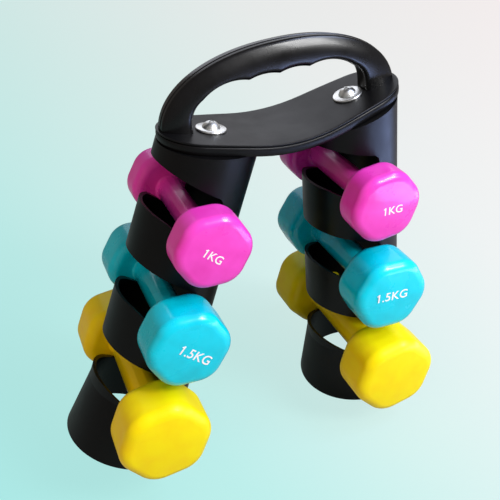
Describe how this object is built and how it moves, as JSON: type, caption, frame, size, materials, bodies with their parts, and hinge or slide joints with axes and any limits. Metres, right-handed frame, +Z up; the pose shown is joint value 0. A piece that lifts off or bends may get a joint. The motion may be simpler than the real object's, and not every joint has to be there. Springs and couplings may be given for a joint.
{
  "type": "dumbbell rack",
  "caption": "Carry-handle dumbbell rack: a saddle plate on two notched tube legs, with pairs of vinyl-coated hex dumbbells resting across the notches.",
  "frame": {"origin": "on the floor, at the middle of the rack's width and depth", "axes": "+X to the rack's right along the handle, -Y towards the front, +Z up"},
  "size_m": [0.3224, 0.18, 0.3308],
  "materials": {
    "plate": "satin moulded, finely grained",
    "handle": "semi-gloss moulded",
    "legs": "satin extruded tube",
    "screws": "bright zinc plated",
    "washers": "bright zinc plated",
    "nuts": "zinc plated",
    "small_screws": "zinc plated",
    "light_vinyl": "glossy dipped vinyl, pink",
    "middle_vinyl": "glossy dipped vinyl, cyan",
    "heavy_vinyl": "satin dipped vinyl, yellow",
    "iron": "as cast"
  },
  "bodies": {
    "rack": {"saddle_plate": "plate", "handle_front_shell": "handle", "handle_rear_shell": "handle", "handle_shell_screws": "small_screws", "handle_foot_screws": "small_screws", "left_leg": "legs", "right_leg": "legs", "left_screw": "screws", "right_screw": "screws", "left_washer": "washers", "right_washer": "washers", "left_nut": "nuts", "right_nut": "nuts"},
    "light_left_dumbbell": {"light_left_coat": "light_vinyl", "light_left_core": "iron"},
    "light_right_dumbbell": {"light_right_coat": "light_vinyl", "light_right_core": "iron"},
    "middle_left_dumbbell": {"middle_left_coat": "middle_vinyl", "middle_left_core": "iron"},
    "middle_right_dumbbell": {"middle_right_coat": "middle_vinyl", "middle_right_core": "iron"},
    "heavy_left_dumbbell": {"heavy_left_coat": "heavy_vinyl", "heavy_left_core": "iron"},
    "heavy_right_dumbbell": {"heavy_right_coat": "heavy_vinyl", "heavy_right_core": "iron"}
  },
  "joints": [
    {"name": "light_left_lift_out", "type": "slide", "parent": "rack", "child": "light_left_dumbbell", "axis": [-0.6157, 0, 0.788], "range_m": [0, 0.066]},
    {"name": "light_right_lift_out", "type": "slide", "parent": "rack", "child": "light_right_dumbbell", "axis": [-0.8829, 0, 0.4695], "range_m": [0, 0.066]},
    {"name": "middle_left_lift_out", "type": "slide", "parent": "rack", "child": "middle_left_dumbbell", "axis": [-0.6157, 0, 0.788], "range_m": [0, 0.066]},
    {"name": "middle_right_lift_out", "type": "slide", "parent": "rack", "child": "middle_right_dumbbell", "axis": [-0.8829, 0, 0.4695], "range_m": [0, 0.066]},
    {"name": "heavy_left_lift_out", "type": "slide", "parent": "rack", "child": "heavy_left_dumbbell", "axis": [-0.6157, 0, 0.788], "range_m": [0, 0.066]},
    {"name": "heavy_right_lift_out", "type": "slide", "parent": "rack", "child": "heavy_right_dumbbell", "axis": [-0.8829, 0, 0.4695], "range_m": [0, 0.066]}
  ]
}
